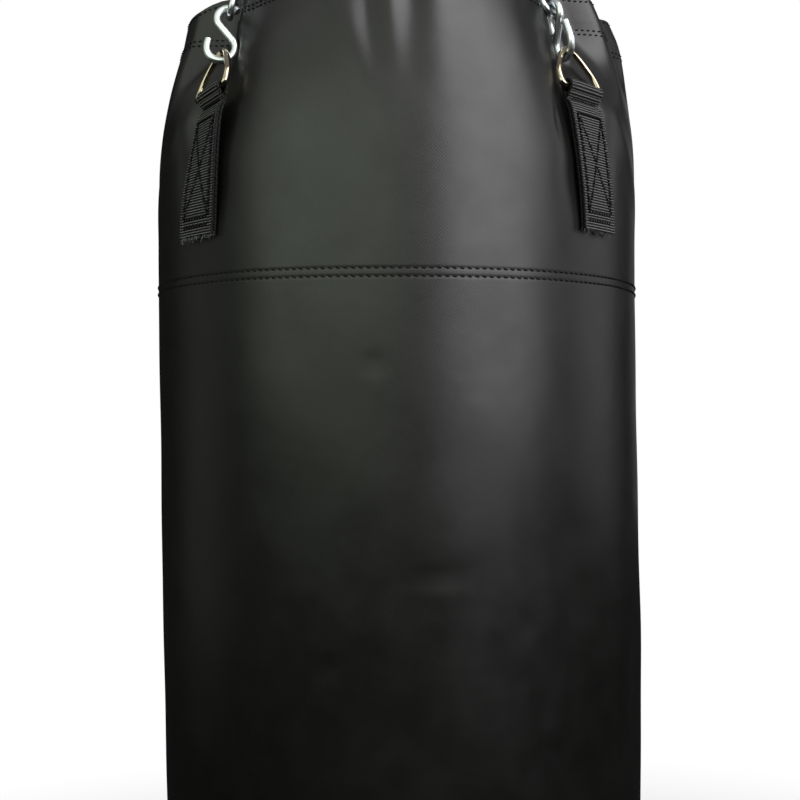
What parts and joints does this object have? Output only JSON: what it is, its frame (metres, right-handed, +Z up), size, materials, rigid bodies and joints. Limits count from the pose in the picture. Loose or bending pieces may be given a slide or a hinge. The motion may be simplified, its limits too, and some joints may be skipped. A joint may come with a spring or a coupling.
{
  "type": "punching bag",
  "caption": "Tall round hanging bag of black vinyl, its rim gathered by webbing straps, D-rings, S-hooks and chains under a swivel, with a zipped lid inside the rim.",
  "frame": {"origin": "the point inside the top of the swivel's bow where the ceiling hook bears; the bag hangs below it", "axes": "+Z up along the hanging axis, -Y towards the front shown in the picture, +X to the viewer's right"},
  "size_m": [0.406, 0.406, 1.6015],
  "materials": {
    "vinyl": "satin black coated vinyl with a fine weave and grain",
    "canvas": "matt black coated canvas",
    "webbing": "ribbed black nylon webbing",
    "zip_tape": "black woven zip tape with moulded teeth",
    "filling": "packed textile cuttings",
    "zip_metal": "dull plated zip metal",
    "chain_zinc": "bright zinc-plated welded chain",
    "hook_zinc": "bright zinc-plated bent wire",
    "forged_zinc": "zinc-plated forged steel",
    "nickel": "polished nickel-plated wire"
  },
  "bodies": {
    "hanger": {"swivel_bow": "forged_zinc", "thrust_washer": "forged_zinc"},
    "swivel": {"swivel_eye": "forged_zinc", "swivel_nut": "forged_zinc"},
    "ring": {"master_ring": "chain_zinc"},
    "bag": {"chain_front_right_link_1": "chain_zinc", "chain_front_right_link_2": "chain_zinc", "chain_front_right_link_3": "chain_zinc", "chain_front_right_link_4": "chain_zinc", "chain_front_right_link_5": "chain_zinc", "chain_front_right_link_6": "chain_zinc", "chain_front_right_link_7": "chain_zinc", "chain_front_right_link_8": "chain_zinc", "chain_back_right_link_1": "chain_zinc", "chain_back_right_link_2": "chain_zinc", "chain_back_right_link_3": "chain_zinc", "chain_back_right_link_4": "chain_zinc", "chain_back_right_link_5": "chain_zinc", "chain_back_right_link_6": "chain_zinc", "chain_back_right_link_7": "chain_zinc", "chain_back_right_link_8": "chain_zinc", "chain_back_left_link_1": "chain_zinc", "chain_back_left_link_2": "chain_zinc", "chain_back_left_link_3": "chain_zinc", "chain_back_left_link_4": "chain_zinc", "chain_back_left_link_5": "chain_zinc", "chain_back_left_link_6": "chain_zinc", "chain_back_left_link_7": "chain_zinc", "chain_back_left_link_8": "chain_zinc", "chain_front_left_link_1": "chain_zinc", "chain_front_left_link_2": "chain_zinc", "chain_front_left_link_3": "chain_zinc", "chain_front_left_link_4": "chain_zinc", "chain_front_left_link_5": "chain_zinc", "chain_front_left_link_6": "chain_zinc", "chain_front_left_link_7": "chain_zinc", "chain_front_left_link_8": "chain_zinc", "s_hook_front_right": "hook_zinc", "s_hook_back_right": "hook_zinc", "s_hook_back_left": "hook_zinc", "s_hook_front_left": "hook_zinc", "d_ring_front_right": "nickel", "d_ring_back_right": "nickel", "d_ring_back_left": "nickel", "d_ring_front_left": "nickel", "strap_front_right": "webbing", "strap_back_right": "webbing", "strap_back_left": "webbing", "strap_front_left": "webbing", "outer_shell": "vinyl", "bottom_panel": "vinyl", "inner_collar": "canvas", "lid_front": "canvas", "lid_back": "canvas", "zip_tape_front": "zip_tape", "zip_tape_back": "zip_tape", "textile_filling": "filling"},
    "slider": {"zip_slider": "zip_metal"},
    "pull": {"zip_pull": "zip_metal"}
  },
  "joints": [
    {"name": "swivel_spin", "type": "hinge", "parent": "hanger", "child": "swivel", "pos_m": [0, 0, -0.036], "axis": [0, 0, 1], "continuous": true},
    {"name": "ring_swing", "type": "hinge", "parent": "swivel", "child": "ring", "pos_m": [0, 0, -0.078], "axis": [0, 1, 0], "range_deg": [-35, 35]},
    {"name": "bag_swing", "type": "hinge", "parent": "ring", "child": "bag", "pos_m": [0, 0, -0.1313], "axis": [1, 0, 0], "range_deg": [-35, 35]},
    {"name": "zip_slide", "type": "slide", "parent": "bag", "child": "slider", "axis": [1, 0, 0], "range_m": [0, 0.3]},
    {"name": "pull_flip", "type": "hinge", "parent": "slider", "child": "pull", "pos_m": [-0.15, 0, -0.5803], "axis": [0, 1, 0], "range_deg": [0, 175]}
  ]
}
